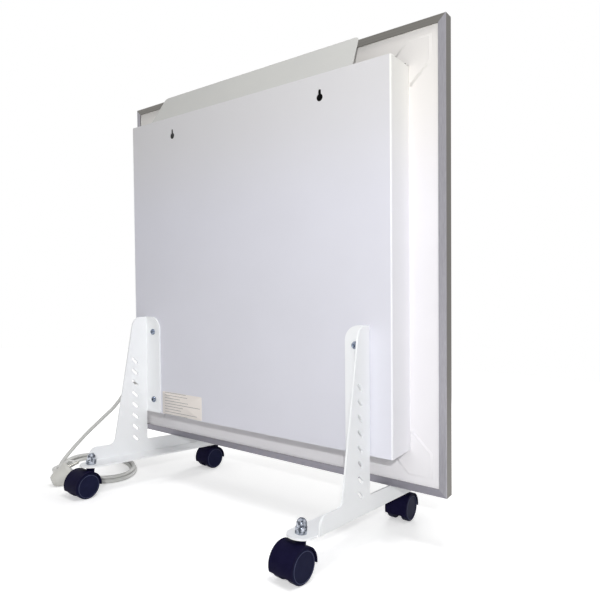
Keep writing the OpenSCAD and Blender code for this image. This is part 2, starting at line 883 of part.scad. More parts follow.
// Wire tie round the coil's bundle
module coil_tie() {
    tie_w = 6;
    tie_t = 1;
    inner = coil_w / 2 + 0.6;
    r = [(coil_out[0] - coil_w / 2) * cos(tie_angle), (coil_out[1] - coil_w / 2) * sin(tie_angle)];
    color("#f2f2f0") translate([coil_at[0], coil_at[1], 0]) rotate(coil_turn) {
        translate([r[0], r[1], 0]) rotate(tie_angle) difference() {
            block([-inner - tie_t, -tie_w / 2, 0], [inner + tie_t, tie_w / 2, coil_h + tie_t]);
            block([-inner, -tie_w, -1], [inner, tie_w, coil_h]);
        }
    }
}

// ---- Plug ----

module plug_body() {
    color("#d9d8d2") at_plug() {
        difference() {
            union() {
                rotate([0, -90, 0]) rotate_extrude() polygon([
                    [0, 0], [plug_face_r, 0], [plug_face_r, plug_rim_t], [plug_face_r - 3, plug_rim_t + 6],
                    [plug_grip_r, plug_len - 4.5], [plug_end_r, plug_len], [0, plug_len]
                ]);
                translate([plug_entry[0], 0, 0]) rotate([-90, 0, 0]) {
                    cylinder(r = plug_end_r, h = plug_stub_len);
                    translate([0, 0, plug_stub_len]) {
                        cylinder(r1 = plug_end_r, r2 = cord_d / 2 + 1.2, h = plug_entry[1] - plug_stub_len);
                    }
                }
            }
            for (side = [-1, 1]) {
                translate([-1.5, side * plug_face_r, 0]) cube([8, 5, 8], center = true);
                translate([-pin_root_len, 0, side * pin_spacing / 2]) rotate([0, 90, 0]) {
                    cylinder(d = pin_root_d, h = pin_root_len + 1);
                }
            }
        }
    }
}

module plug_pins() {
    tip = 1.5;
    color("#c9ccd2") at_plug() for (side = [-1, 1]) {
        translate([0, 0, side * pin_spacing / 2]) rotate([0, 90, 0]) {
            translate([0, 0, -pin_root_len]) cylinder(d = pin_root_d, h = pin_root_len + eps);
            cylinder(d = pin_d, h = pin_len - tip);
            translate([0, 0, pin_len - tip]) cylinder(d1 = pin_d, d2 = pin_d - 2, h = tip);
        }
    }
}

// ---- Legs ----

// One folded sheet, drawn for the right side
module leg() {
    top_point = cover_d + leg_top_w;
    wall_front = stem_front + wall_end;
    wall_back = stem_back - wall_end;
    // Height on the fold's line, along the lean, that is level with the foot's top
    foot_level = (foot_top - edge_z + (cover_d + leg_fold_out) * sin(tilt)) / cos(tilt);
    toe = side_view(cover_d + leg_fold_out, foot_level);
    top_fold = side_view(cover_d + leg_fold_out, leg_top);
    top_back = side_view(top_point, leg_top);
    wall_low = foot_z + leg_fold_out;
    back_fillet = 10;
    toe_fillet = 4;
    difference() {
        union() {
            // Upright wall of the leg and the foot
            translate([leg_out - leg_t, 0, 0]) rotate([90, 0, 90]) linear_extrude(leg_t) polygon(rounded([
                [wall_front, wall_low, 0], [wall_back, wall_low, 0], [wall_back, foot_top, foot_corner_r],
                [toe[0] + leg_base_w, foot_top, back_fillet],
                [top_back[0], top_back[1], leg_corner_r], [top_fold[0], top_fold[1], 0],
                [toe[0], foot_top, toe_fillet],
                [wall_front, foot_top, foot_corner_r]
            ]));
            // Flange against the cover, with its fold
            in_panel() {
                upright_plate(rounded([
                    [flange_in, flange_bottom, 2], [fold_x, flange_bottom, 0],
                    [fold_x, leg_top, 0], [flange_in, leg_top, flange_corner_r]
                ]), cover_d + leg_t, leg_t);
                translate([fold_x, cover_d + leg_fold_out, flange_bottom]) {
                    linear_extrude(leg_top - flange_bottom) quarter_fold();
                }
            }
            // Bottom flange with a round tongue round each stud, and its fold
            translate([0, 0, foot_z]) linear_extrude(leg_t) foot_outline(wall_front, wall_back);
            translate([fold_x, wall_back, wall_low]) rotate([90, 0, 0]) {
                linear_extrude(wall_back - wall_front) quarter_fold();
            }
        }
        for (y = [stem_front, stem_back]) {
            translate([stem_x, y, foot_z - 1]) cylinder(d = stud_d + 2 * stud_hole_clearance, h = leg_t + 2);
        }
        in_panel() {
            for (z = screw_heights) {
                back_cylinder(screw_x, cover_d - 1, z, screw_d + 2 * screw_clearance, leg_t + 2);
            }
            for (i = [0:slot_count - 1]) {
                translate([leg_out - leg_t - 1, cover_d + slot_back, slot_first + i * slot_pitch]) {
                    rotate([45, 0, 0]) leg_slot();
                }
            }
        }
    }
}

// The outer quarter of a fold, below and to the right of its centre.
// Short straight ends lap into the two flat walls.
module quarter_fold() {
    lap = 1;
    far = leg_fold_out + lap;
    intersection() {
        difference() {
            union() {
                circle(leg_fold_out);
                square([leg_fold_out, far]);
                translate([-far, -leg_fold_out]) square([far, leg_fold_out]);
            }
            circle(leg_fold_in);
            translate([-far, 0]) square([far + leg_fold_in, far + 1]);
            translate([-far - 1, -leg_fold_in]) square([far + 1, far + leg_fold_in]);
        }
        translate([-lap, -leg_fold_out]) square(far);
    }
}

module foot_outline(wall_front, wall_back) {
    translate([flange_in, wall_front]) square([fold_x - flange_in, wall_back - wall_front]);
    translate([flange_in, stem_front]) square([2 * tongue_r, stem_back - stem_front]);
    translate([stem_x, stem_front]) circle(tongue_r);
    translate([stem_x, stem_back]) circle(tongue_r);
}

// An obround slot through the leg's wall
module leg_slot() {
    through = leg_t + 2;
    straight = slot_len - slot_w;
    block([0, -straight / 2, -slot_w / 2], [through, straight / 2, slot_w / 2]);
    for (side = [-1, 1]) {
        translate([0, side * straight / 2, 0]) rotate([0, 90, 0]) cylinder(d = slot_w, h = through);
    }
}

module leg_right() {
    color("#f0f1f3") leg();
}

module leg_left() {
    color("#f0f1f3") mirror([1, 0, 0]) leg();
}

// Pan-head screws through the leg's flange into the clinch nuts
module leg_screws() {
    shank = leg_t + cover_t + nut_body_h + 1;
    in_panel() for (z = screw_heights) {
        translate([screw_x, cover_d + leg_t, z]) rotate([-90, 0, 0]) difference() {
            union() {
                translate([0, 0, -shank]) cylinder(d = screw_d, h = shank + eps);
                rotate_extrude() polygon([
                    [0, 0], [screw_head_d / 2, 0], [screw_head_d / 2, screw_head_h * 0.35],
                    [screw_head_d * 0.44, screw_head_h * 0.7], [screw_head_d * 0.3, screw_head_h * 0.95],
                    [0, screw_head_h]
                ]);
            }
            for (turn = [0, 90]) {
                rotate(turn) translate([-screw_d / 2, -0.5, screw_head_h * 0.4]) {
                    cube([screw_d, 1, screw_head_h]);
                }
            }
        }
    }
}

module leg_screws_right() {
    color("#b9bcc2") leg_screws();
}

module leg_screws_left() {
    color("#b9bcc2") mirror([1, 0, 0]) leg_screws();
}

// ---- Casters ----

function stem(side, back) = [side * stem_x, back ? stem_back : stem_front, 0];
stems = [stem(-1, false), stem(1, false), stem(-1, true), stem(1, true)];

module caster_studs() {
    color("#4b4d52") for (s = stems) {
        translate(s) {
            translate([0, 0, stud_low]) cylinder(d = stud_d, h = foot_z + leg_t + stud_grip - stud_low);
            translate([0, 0, foot_z - collar_t]) cylinder(d = collar_d, h = collar_t);
        }
    }
}

// Hexagon cap nuts with a domed top
module cap_nuts() {
    dome_r = nut_flats / 2 - 0.6;
    hex_h = 0.42 * nut_h;
    // Cones at 45 degrees break the hexagon's corners, below and above
    cone_r = nut_flats / 2 + 0.3;
    color("#c4c8d0") for (s = stems) {
        translate(s + [0, 0, foot_z + leg_t]) difference() {
            union() {
                intersection() {
                    cylinder(d = nut_flats / cos(30), h = hex_h, $fn = 6);
                    cylinder(r1 = cone_r, r2 = cone_r + hex_h, h = hex_h);
                    translate([0, 0, -eps]) cylinder(r1 = cone_r + hex_h, r2 = cone_r, h = hex_h + eps);
                }
                cylinder(r = dome_r, h = nut_h - dome_r);
                translate([0, 0, nut_h - dome_r]) sphere(dome_r);
            }
            translate([0, 0, -1]) cylinder(d = stud_d, h = stud_grip + 2);
        }
    }
}

// The part of the hood's side view that lies between its front edge and its lower back edge
module hood_sector() {
    far = 3 * hood_r;
    back_edge = -25;
    polygon([[0, 0], [far * cos(back_edge), far * sin(back_edge)], [far, far], [-far, far], [-far, 0]]);
}

// Hood with the web between the wheels and the sleeve for the stud.
// Its stem stands at the origin on the floor and it trails towards +Y.
module hood() {
    web_r = 0.74 * wheel_r;
    neck_low = 0.7 * wheel_r;
    neck_top = foot_z - collar_t - stud_gap;
    difference() {
        union() {
            translate([0, trail, wheel_r]) rotate([90, 0, 90]) {
                linear_extrude(hood_w, center = true) intersection() {
                    difference() {
                        circle(hood_r);
                        circle(hood_r - hood_t);
                    }
                    hood_sector();
                }
                linear_extrude(neck_d, center = true) {
                    circle(web_r);
                    intersection() {
                        circle(hood_r - hood_t / 2);
                        hood_sector();
                    }
                }
            }
            translate([0, 0, neck_low]) cylinder(d = neck_d, h = neck_top - neck_low);
        }
        translate([0, 0, stud_low - stud_gap]) cylinder(d = stud_d + 2 * running_clearance, h = foot_z);
        translate([0, trail, wheel_r]) rotate([0, 90, 0]) {
            cylinder(d = axle_d, h = neck_d + 2, center = true);
        }
    }
}

module axle() {
    reach = half_pair - wheel_face_t - 0.3;
    translate([-reach, trail, wheel_r]) rotate([0, 90, 0]) cylinder(d = axle_d, h = 2 * reach);
}

// One wheel, hollow towards the hood's web, with a closed outer face; side 1 is towards +X
module wheel(side) {
    bore = axle_d / 2 + running_clearance;
    hub = axle_d;
    rim = wheel_r - 3.5;
    // The face lies a little inside the rim, whose outer edge is rounded in steps
    face = wheel_w - 0.6;
    shoulder = [
        for (a = [0:18:90])
            [wheel_r - wheel_edge_r * (1 - cos(a)), wheel_w - wheel_edge_r * (1 - sin(a))]
    ];
    web = wheel_w - wheel_face_t - 1;
    translate([0, trail, wheel_r]) mirror([side < 0 ? 1 : 0, 0, 0]) {
        translate([neck_d / 2 + wheel_gap, 0, 0]) rotate([0, 90, 0]) rotate_extrude() polygon(concat([
            [bore, 0], [hub, 0], [hub, web], [rim, web], [rim, 0], [wheel_r - 0.6, 0], [wheel_r, 0.6]
        ], shoulder, [
            [rim + 1, wheel_w], [rim + 0.6, face], [0, face],
            [0, wheel_w - wheel_face_t], [bore, wheel_w - wheel_face_t]
        ]));
    }
}

// A caster's place: side -1 is left, and turn swings the wheels towards +X
module at_stem(side, back, turn) {
    translate(stem(side, back)) rotate([0, 0, -turn]) children();
}

module hood_at(side, back, turn) {
    color("#1a1a2c") at_stem(side, back, turn) hood();
}

module axle_at(side, back, turn) {
    color("#a7abb3") at_stem(side, back, turn) axle();
}

module wheel_at(side, back, turn, outer) {
    color("#1d1c33") at_stem(side, back, turn) wheel(outer ? side : -side);
}

front_panel();
heating_mat();
insulation_board();
back_pan();
pan_seal();
frame_top();
frame_bottom();
frame_left();
frame_right();
corner_keys();
cover_back();
cover_side_left();
cover_side_right();
cover_flap();
cover_rivets();
clinch_nuts();
terminal_block();
thermal_cutout();
internal_wires();
lead_grommet();
earth_screw();
strain_relief();
relief_nut();
leg_left();
leg_right();
leg_screws_left();
leg_screws_right();
caster_studs();
cap_nuts();
hood_at(-1, false, 0);  // front_left_hood
axle_at(-1, false, 0);  // front_left_axle
wheel_at(-1, false, 0, true);  // front_left_wheel_outer
wheel_at(-1, false, 0, false);  // front_left_wheel_inner
hood_at(1, false, front_right_turn);  // front_right_hood
axle_at(1, false, front_right_turn);  // front_right_axle
wheel_at(1, false, front_right_turn, true);  // front_right_wheel_outer
wheel_at(1, false, front_right_turn, false);  // front_right_wheel_inner
hood_at(-1, true, back_left_turn);  // back_left_hood
axle_at(-1, true, back_left_turn);  // back_left_axle
wheel_at(-1, true, back_left_turn, true);  // back_left_wheel_outer
wheel_at(-1, true, back_left_turn, false);  // back_left_wheel_inner
hood_at(1, true, 0);  // back_right_hood
axle_at(1, true, 0);  // back_right_axle
wheel_at(1, true, 0, true);  // back_right_wheel_outer
wheel_at(1, true, 0, false);  // back_right_wheel_inner
supply_cord();
cord_coil();
coil_tie();
plug_body();
plug_pins();
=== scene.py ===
"""Looks of an infrared panel heater on a wheeled stand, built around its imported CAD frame.

Lengths are written in millimetres and turned to metres by MM; lamps and the scales of patterns are
in metres. Places are in the frame's own axes: X across the heater, +Y to its back, Z up.
"""

import math

import bmesh
import bpy
import numpy as np
from mathutils import Matrix, Vector


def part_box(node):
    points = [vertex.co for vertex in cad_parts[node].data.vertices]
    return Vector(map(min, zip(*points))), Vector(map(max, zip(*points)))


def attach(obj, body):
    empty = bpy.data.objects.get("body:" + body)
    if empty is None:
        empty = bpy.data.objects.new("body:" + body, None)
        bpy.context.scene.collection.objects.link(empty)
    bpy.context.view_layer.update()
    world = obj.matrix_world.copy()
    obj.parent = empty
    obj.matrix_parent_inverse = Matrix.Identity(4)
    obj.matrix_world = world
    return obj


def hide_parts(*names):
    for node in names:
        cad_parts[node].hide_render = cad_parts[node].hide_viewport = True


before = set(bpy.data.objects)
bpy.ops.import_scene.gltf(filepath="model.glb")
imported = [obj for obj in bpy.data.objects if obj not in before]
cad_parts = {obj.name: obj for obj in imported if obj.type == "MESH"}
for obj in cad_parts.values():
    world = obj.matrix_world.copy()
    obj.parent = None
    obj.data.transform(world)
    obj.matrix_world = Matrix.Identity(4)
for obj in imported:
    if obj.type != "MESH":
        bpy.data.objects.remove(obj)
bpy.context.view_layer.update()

# ---------------------------------------------------------------------------
# Camera. A 32 mm lens on a 36 mm sensor, low behind the heater, on the side away from its cord.
# It looks a little upwards and is turned about its own axis by the roll.
# ---------------------------------------------------------------------------
MM = 0.001
camera_place = (-542.66, 617.25, 268.07)
camera_yaw, camera_pitch, camera_roll = (math.radians(a) for a in (36.238, 3.363, 3.014))

camera = bpy.data.objects.new("camera", bpy.data.cameras.new("camera"))
camera.data.lens = 32.005
camera.data.sensor_width = 36.0
camera.data.clip_start = 0.01
ahead = Vector((
    math.sin(camera_yaw) * math.cos(camera_pitch),
    -math.cos(camera_yaw) * math.cos(camera_pitch),
    math.sin(camera_pitch),
))
level = Vector((-math.cos(camera_yaw), -math.sin(camera_yaw), 0.0))
across = math.cos(camera_roll) * level + math.sin(camera_roll) * level.cross(ahead)
camera.matrix_world = Matrix.Translation(Vector(camera_place) * MM) @ Matrix(
    (across, across.cross(ahead), -ahead)
).transposed().to_4x4()
bpy.context.scene.collection.objects.link(camera)
bpy.context.scene.camera = camera
bpy.context.scene.view_settings.view_transform = "Standard"

# ---------------------------------------------------------------------------
# Supply cord. A two-core PVC lead of 6.5 mm leaves the cover's side wall through a strain relief,
# drops to the floor and lies there in three oval turns, tied once, with its moulded plug beside it.
# The sheath is extruded PVC: satin, faintly ribbed along its length by the die.
# ---------------------------------------------------------------------------
cord_radius, cord_sides, cord_spacing = 3.25, 20, 2.2
cord_exit = (280.0, -13.64, 158.2)
# From the strain relief down to the floor, beside the coil
drop_route = [
    (286, -13.5, 157.5), (293.5, -12.5, 154.5), (299.5, -10.5, 150), (304.5, -7.5, 144),
    (308, -5, 137.5), (311.5, -2, 128.5), (316, 2, 118.5), (324, 7.5, 105.5), (334, 15, 92.5),
    (343.5, 22, 79.5), (353.5, 29.5, 66), (362.5, 37, 52.5), (370.5, 45, 38.5), (375, 50.5, 29),
    (378, 57, 19.5), (377, 64, 12.5), (373, 71, 7), (364.5, 78.5, 3.7),
]
# From the coil's top turn over the outer strand to the plug, and into its body
tail_route = [(354, 79.5, 10.2), (347, 89, 10.6), (339, 99, 11.6), (329.5, 108, 13.2)]
plug_stub = [(320.5, 114.4, 14.3), (313.4, 117.6, 14.5), (303.7, 120.0, 14.5)]

# The coil is an oval on the floor, and its first lane lies 3.5 mm outside it. A step says from
# which angle to which, in degrees, the lane moves inwards or the height grows, and by how much.
coil_centre = (314.0, 30.0)
coil_turn = math.radians(-25.5)
coil_half = (92.0, 62.5)
coil_angles = np.arange(82.0, 1151.0, 12.0)
outer_lane, floor_height = -3.5, 3.4
lane_steps = ((100, 130, 7.0), (452, 485, 6.9), (804, 832, -3.5), (1105, 1150, -3.3))
height_steps = ((790, 818, 6.7), (845, 870, -1.0), (1090, 1115, 1.1))


def stepped(angles, start, steps):
    """The start value plus each step's change. Over its two angles a step grows from none to the
    whole change as 3t^2 - 2t^3, where t is the share of the way between them."""
    value = np.full_like(angles, start)
    for low, high, change in steps:
        t = np.clip((angles - low) / (high - low), 0, 1)
        value += change * t * t * (3 - 2 * t)
    return value


def coil_points(angles):
    """Centre line of the oval turns. Each point is on an ellipse, turned on the floor, whose two
    half axes shrink by the lane's distance in from the coil's edge. The first turn lies outside on
    the floor, the second beside it on the inside, and the third on top of both."""
    inset = stepped(angles, outer_lane, lane_steps)
    height = stepped(angles, floor_height, height_steps)
    turn = np.radians(angles)
    x = (coil_half[0] - inset) * np.cos(turn)
    y = (coil_half[1] - inset) * np.sin(turn)
    cosine, sine = math.cos(coil_turn), math.sin(coil_turn)
    return np.stack([
        coil_centre[0] + x * cosine - y * sine, coil_centre[1] + x * sine + y * cosine, height
    ], axis=1)


def smooth_path(points, spacing, cuts=12):
    """A Catmull-Rom curve through the points, cut again at equal steps along its length. Between
    two points it is the usual cubic in t whose ends have the slope of the neighbours' chord."""
    p = np.vstack([points[:1], points, points[-1:]]).astype(float)
    t = np.linspace(0, 1, cuts, endpoint=False)[:, None, None]
    a, b, c, d = p[:-3], p[1:-2], p[2:-1], p[3:]
    curve = 0.5 * (
        2 * b + (c - a) * t + (2 * a - 5 * b + 4 * c - d) * t**2 + (3 * b - a - 3 * c + d) * t**3
    )
    curve = np.vstack([curve.transpose(1, 0, 2).reshape(-1, 3), p[-1:]])
    along = np.concatenate([[0], np.cumsum(np.linalg.norm(np.diff(curve, axis=0), axis=1))])
    at = np.linspace(0, along[-1], max(2, round(along[-1] / spacing) + 1))
    return np.stack([np.interp(at, along, curve[:, i]) for i in range(3)], axis=1)


def tube_grid(path, radius, sides):
    """Rings of points round a path: centre + r (u cos a + v sin a), where u is level and square to
    the path and v is square to both."""
    way = np.gradient(path, axis=0)
    way /= np.linalg.norm(way, axis=1, keepdims=True)
    u = np.cross([0.0, 0.0, 1.0], way)
    u /= np.linalg.norm(u, axis=1, keepdims=True)
    v = np.cross(way, u)
    a = np.linspace(0, 2 * np.pi, sides, endpoint=False)[None, :, None]
    return path[:, None, :] + radius * (u[:, None, :] * np.cos(a) + v[:, None, :] * np.sin(a))


def grid_mesh(name, grid, close_u=False, close_v=False, uv=None, capped=False):
    """A mesh over a grid of points, rows by columns: each face joins four neighbours. close_u joins
    the last row to the first, and close_v the last column to the first. Capped fills the open ends
    and turns the faces outwards."""
    rows, columns = grid.shape[:2]
    i = np.arange(rows if close_u else rows - 1)[:, None]
    j = np.arange(columns if close_v else columns - 1)[None, :]
    below, right = (i + 1) % rows, (j + 1) % columns
    faces = np.stack([
        i * columns + j, i * columns + right, below * columns + right, below * columns + j
    ], axis=-1).reshape(-1, 4)
    mesh = bpy.data.meshes.new(name)
    mesh.from_pydata((grid.reshape(-1, 3) * MM).tolist(), [], faces.tolist())
    if uv is not None:
        layer = mesh.uv_layers.new(name="along")
        layer.data.foreach_set("uv", uv.reshape(-1, 2)[faces.reshape(-1)].ravel())
    mesh.polygons.foreach_set("use_smooth", np.ones(len(faces), bool))
    if capped:
        shell = bmesh.new()
        shell.from_mesh(mesh)
        bmesh.ops.holes_fill(shell, edges=shell.edges[:])
        bmesh.ops.recalc_face_normals(shell, faces=shell.faces[:])
        shell.to_mesh(mesh)
        shell.free()
    return mesh


def add_piece(name, mesh, material, body):
    """Links a mesh as a piece that rides on a body and takes its finish from a slot."""
    piece = bpy.data.objects.new(name, mesh)
    bpy.context.scene.collection.objects.link(piece)
    piece.data.materials.append(material)
    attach(piece, body)
    return piece


def linear(hexa):
    """The linear colour of an sRGB hex value."""
    srgb = [int(hexa[i:i + 2], 16) / 255 for i in (1, 3, 5)]
    return [c / 12.92 if c <= 0.04045 else ((c + 0.055) / 1.055) ** 2.4 for c in srgb] + [1.0]


def add(material, kind, sockets=(), **settings):
    """Adds a node with its settings. Each socket is (name, value), and a value may be another
    node's output, which is then linked."""
    node = material.node_tree.nodes.new(kind)
    for key, value in settings.items():
        setattr(node, key, value)
    for key, value in sockets:
        socket = node.inputs[key]
        if isinstance(value, bpy.types.NodeSocket):
            material.node_tree.links.new(value, socket)
        else:
            socket.default_value = value
    return node


def wire(material, output, socket):
    material.node_tree.links.new(output, socket)


def start_finish(name, **surface):
    """A new material with its shader's plain values, such as Roughness=0.4."""
    material = bpy.data.materials.new(name)
    material.use_nodes = True
    shader = material.node_tree.nodes["Principled BSDF"]
    for key, value in surface.items():
        shader.inputs[key.replace("_", " ")].default_value = value
    return material, shader


# Light grey-white PVC. The ribs are streaks 50 mm long and 1 mm wide, coarser than the die's own so
# that they show, and the colour is a little uneven along them. The map counts millimetres along the
# sheath and 0 to 1 round it.
pvc, pvc_shader = start_finish("pvc_cord_sheath", Roughness=0.42, IOR=1.53)
pvc_uv = add(pvc, "ShaderNodeUVMap", uv_map="along")
pvc_map = add(pvc, "ShaderNodeMapping", [
    ("Vector", pvc_uv.outputs["UV"]), ("Scale", (0.02, 22.0, 1.0))
])
pvc_streak = add(pvc, "ShaderNodeTexNoise", [
    ("Vector", pvc_map.outputs["Vector"]), ("Scale", 1.0), ("Detail", 3.0)
])
pvc_tone = add(pvc, "ShaderNodeMix", [
    ("Factor", pvc_streak.outputs["Fac"]), ("A", linear("#c9c9c6")), ("B", linear("#e2e2df"))
], data_type="RGBA")
wire(pvc, pvc_tone.outputs["Result"], pvc_shader.inputs["Base Color"])
pvc_bump = add(pvc, "ShaderNodeBump", [
    ("Height", pvc_streak.outputs["Fac"]), ("Strength", 0.35), ("Distance", 0.15 * MM)
])
wire(pvc, pvc_bump.outputs["Normal"], pvc_shader.inputs["Normal"])

cord_line = smooth_path(
    np.vstack([[cord_exit], drop_route, coil_points(coil_angles), tail_route, plug_stub]),
    cord_spacing,
)
cord_steps = np.linalg.norm(np.diff(cord_line, axis=0), axis=1)
cord_along = np.linspace(0, cord_steps.sum(), len(cord_line))
cord_round = np.arange(cord_sides) / cord_sides
cord_uv = np.stack(np.meshgrid(cord_along, cord_round, indexing="ij"), axis=-1)
cord_mesh = grid_mesh(
    "supply_cord_lead", tube_grid(cord_line, cord_radius, cord_sides),
    close_v=True, uv=cord_uv, capped=True,
)
cord = add_piece("supply_cord_lead", cord_mesh, pvc, "heater")
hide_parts("supply_cord", "cord_coil")


def dress(material, *nodes):
    """Gives CAD nodes their finish."""
    for node in nodes:
        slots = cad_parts[node].material_slots
        if not slots:
            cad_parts[node].data.materials.append(material)
        for slot in slots:
            slot.material = material


# Moulded PVC of the plug and the strain relief: smoother than the lead, with faint flow marks of
# 11 mm and the spark-eroded grain of the mould, about 0.3 mm
moulded, moulded_shader = start_finish("moulded_plug_pvc", Roughness=0.38, IOR=1.53)
moulded_at = add(moulded, "ShaderNodeTexCoord")
moulded_flow = add(moulded, "ShaderNodeTexNoise", [
    ("Vector", moulded_at.outputs["Object"]), ("Scale", 90.0), ("Detail", 4.0)
])
moulded_tone = add(moulded, "ShaderNodeMix", [
    ("Factor", moulded_flow.outputs["Fac"]), ("A", linear("#cfcec8")), ("B", linear("#dbdad5"))
], data_type="RGBA")
wire(moulded, moulded_tone.outputs["Result"], moulded_shader.inputs["Base Color"])
moulded_grain = add(moulded, "ShaderNodeTexNoise", [
    ("Vector", moulded_at.outputs["Object"]), ("Scale", 3000.0), ("Detail", 2.0)
])
moulded_bump = add(moulded, "ShaderNodeBump", [
    ("Height", moulded_grain.outputs["Fac"]), ("Strength", 0.3), ("Distance", 0.03 * MM)
])
wire(moulded, moulded_bump.outputs["Normal"], moulded_shader.inputs["Normal"])
dress(moulded, "plug_body", "strain_relief", "relief_nut")


def plated(name, roughness, low, high, scale, detail, patchy=False):
    """Metal with a haze of two tones, mixed by a noise of so many waves to the metre. Where it is
    patchy, the noise's middle fifth is stretched, so that the tones meet in clear patches."""
    metal, shader = start_finish(name, Metallic=1.0, Roughness=roughness)
    at = add(metal, "ShaderNodeTexCoord")
    haze = add(metal, "ShaderNodeTexNoise", [
        ("Vector", at.outputs["Object"]), ("Scale", scale), ("Detail", detail)
    ])
    share = haze.outputs["Fac"]
    if patchy:
        patch = add(metal, "ShaderNodeMapRange", [
            ("Value", share), ("From Min", 0.4), ("From Max", 0.6)
        ])
        share = patch.outputs["Result"]
    tone = add(metal, "ShaderNodeMix", [
        ("Factor", share), ("A", linear(low)), ("B", linear(high))
    ], data_type="RGBA")
    wire(metal, tone.outputs["Result"], shader.inputs["Base Color"])
    return metal


# Nickel-plated brass pins: turned and bright, with darker spots of 1.4 mm painted as dark
# reflections
dress(plated("nickel_brass_painted_reflections", 0.22, "#7d7c78", "#c9c7c0", 700.0, 3.0), "plug_pins")

# White plastic-covered wire tie, with the grain of its ribbon
tie_finish, tie_shader = start_finish(
    "tie_polyethylene", Roughness=0.5, Base_Color=linear("#f2f2f0")
)
tie_at = add(tie_finish, "ShaderNodeTexCoord")
tie_grain = add(tie_finish, "ShaderNodeTexNoise", [
    ("Vector", tie_at.outputs["Object"]), ("Scale", 900.0)
])
tie_bump = add(tie_finish, "ShaderNodeBump", [
    ("Height", tie_grain.outputs["Fac"]), ("Strength", 0.3), ("Distance", 0.1 * MM)
])
wire(tie_finish, tie_bump.outputs["Normal"], tie_shader.inputs["Normal"])
dress(tie_finish, "coil_tie")

# ---------------------------------------------------------------------------
# Floor and light. The heater stands on a white paper floor in a white room. One small lamp beside
# the camera throws the crisp shadows, and the room lifts them.
# ---------------------------------------------------------------------------


def disk_lamp(name, size, watts, place, target):
    """A round lamp at a place in metres that shines on a target."""
    lamp = bpy.data.objects.new(name, bpy.data.lights.new(name, "AREA"))
    lamp.data.shape = "DISK"
    lamp.data.size = size
    lamp.data.energy = watts
    lamp.matrix_world = Matrix.Translation(place) @ (
        (Vector(place) - Vector(target)).to_track_quat("Z", "Y").to_matrix().to_4x4()
    )
    bpy.context.scene.collection.objects.link(lamp)


disk_lamp("key_lamp", 0.035, 6.0, (-0.74, 0.92, 0.48), (0.0, 0.03, 0.35))
# A broad lamp overhead lights the upper sides and lays a soft shadow on the floor below the panel
disk_lamp("overhead_lamp", 0.5, 6.8, (-0.45, 0.36, 1.55), (0.0, 0.1, 0.1))
# A soft lamp before the heater keeps its radiating side white
disk_lamp("front_lamp", 0.6, 8.0, (0.45, -1.5, 0.85), (0.0, -0.1, 0.4))

# The room is white to the camera and in reflections, and lights the object more weakly
room_level = 0.28
world = bpy.data.worlds.new("white_room")
world.use_nodes = True
bpy.context.scene.world = world
room = world.node_tree.nodes["Background"]
room.inputs["Color"].default_value = (1.0, 1.0, 1.0, 1.0)
room_path = add(world, "ShaderNodeLightPath")
room_straight = add(world, "ShaderNodeMath", [
    (0, room_path.outputs["Is Camera Ray"]), (1, room_path.outputs["Is Transmission Ray"])
], operation="MAXIMUM")
room_seen = add(world, "ShaderNodeMath", [
    (0, room_straight.outputs[0]), (1, room_path.outputs["Is Glossy Ray"])
], operation="MAXIMUM")
room_strength = add(world, "ShaderNodeMix", [
    ("Factor", room_seen.outputs[0]), ("A", room_level), ("B", 1.0)
], data_type="FLOAT")
wire(world, room_strength.outputs["Result"], room.inputs["Strength"])


def floor_sheet(u, v):
    """The floor is a flat sheet: x and y from the parameters, z = 0."""
    return np.stack([u, v, np.zeros_like(u)], axis=-1)


floor_reach = 4000
floor_lines = np.linspace(-floor_reach, floor_reach, 3)
floor_grid = floor_sheet(*np.meshgrid(floor_lines, floor_lines, indexing="ij"))
floor = bpy.data.objects.new("studio_floor", grid_mesh("studio_floor", floor_grid))
bpy.context.scene.collection.objects.link(floor)

paper = bpy.data.materials.new("white_studio_paper")
paper.use_nodes = True
paper.node_tree.nodes.remove(paper.node_tree.nodes["Principled BSDF"])
paper_path = add(paper, "ShaderNodeLightPath")
paper_matte = add(paper, "ShaderNodeBsdfDiffuse", [("Color", linear("#f4f4f4"))])
paper_seen = add(paper, "ShaderNodeMath", [
    (0, paper_path.outputs["Is Camera Ray"]), (1, paper_path.outputs["Is Glossy Ray"])
], operation="MAXIMUM")
# The paper's own white is half as strong within 0.25 m of the heater's middle as from 0.6 m on, so
# that the heater's shadow stays visible there
paper_at = add(paper, "ShaderNodeTexCoord")
paper_reach = add(
    paper, "ShaderNodeVectorMath", [(0, paper_at.outputs["Object"])], operation="LENGTH"
)
paper_white = add(paper, "ShaderNodeMapRange", [
    ("Value", paper_reach.outputs["Value"]),
    ("From Min", 0.25), ("From Max", 0.6), ("To Min", 0.4), ("To Max", 0.8),
], interpolation_type="SMOOTHSTEP")
paper_level = add(paper, "ShaderNodeMath", [
    (0, paper_seen.outputs[0]), (1, paper_white.outputs["Result"])
], operation="MULTIPLY")
paper_glow = add(paper, "ShaderNodeEmission", [("Strength", paper_level.outputs[0])])
paper_sum = add(paper, "ShaderNodeAddShader", [
    (0, paper_matte.outputs[0]), (1, paper_glow.outputs[0])
])
paper_output = paper.node_tree.nodes["Material Output"]
wire(paper, paper_sum.outputs[0], paper_output.inputs["Surface"])
floor.data.materials.append(paper)

# ---------------------------------------------------------------------------
# Duct cover. A channel of 1 mm steel sheet, folded, riveted to the back pan and bent in at its top
# as a deflector. It is powder coated: a satin skin with the low waves of sprayed and baked powder.
# ---------------------------------------------------------------------------


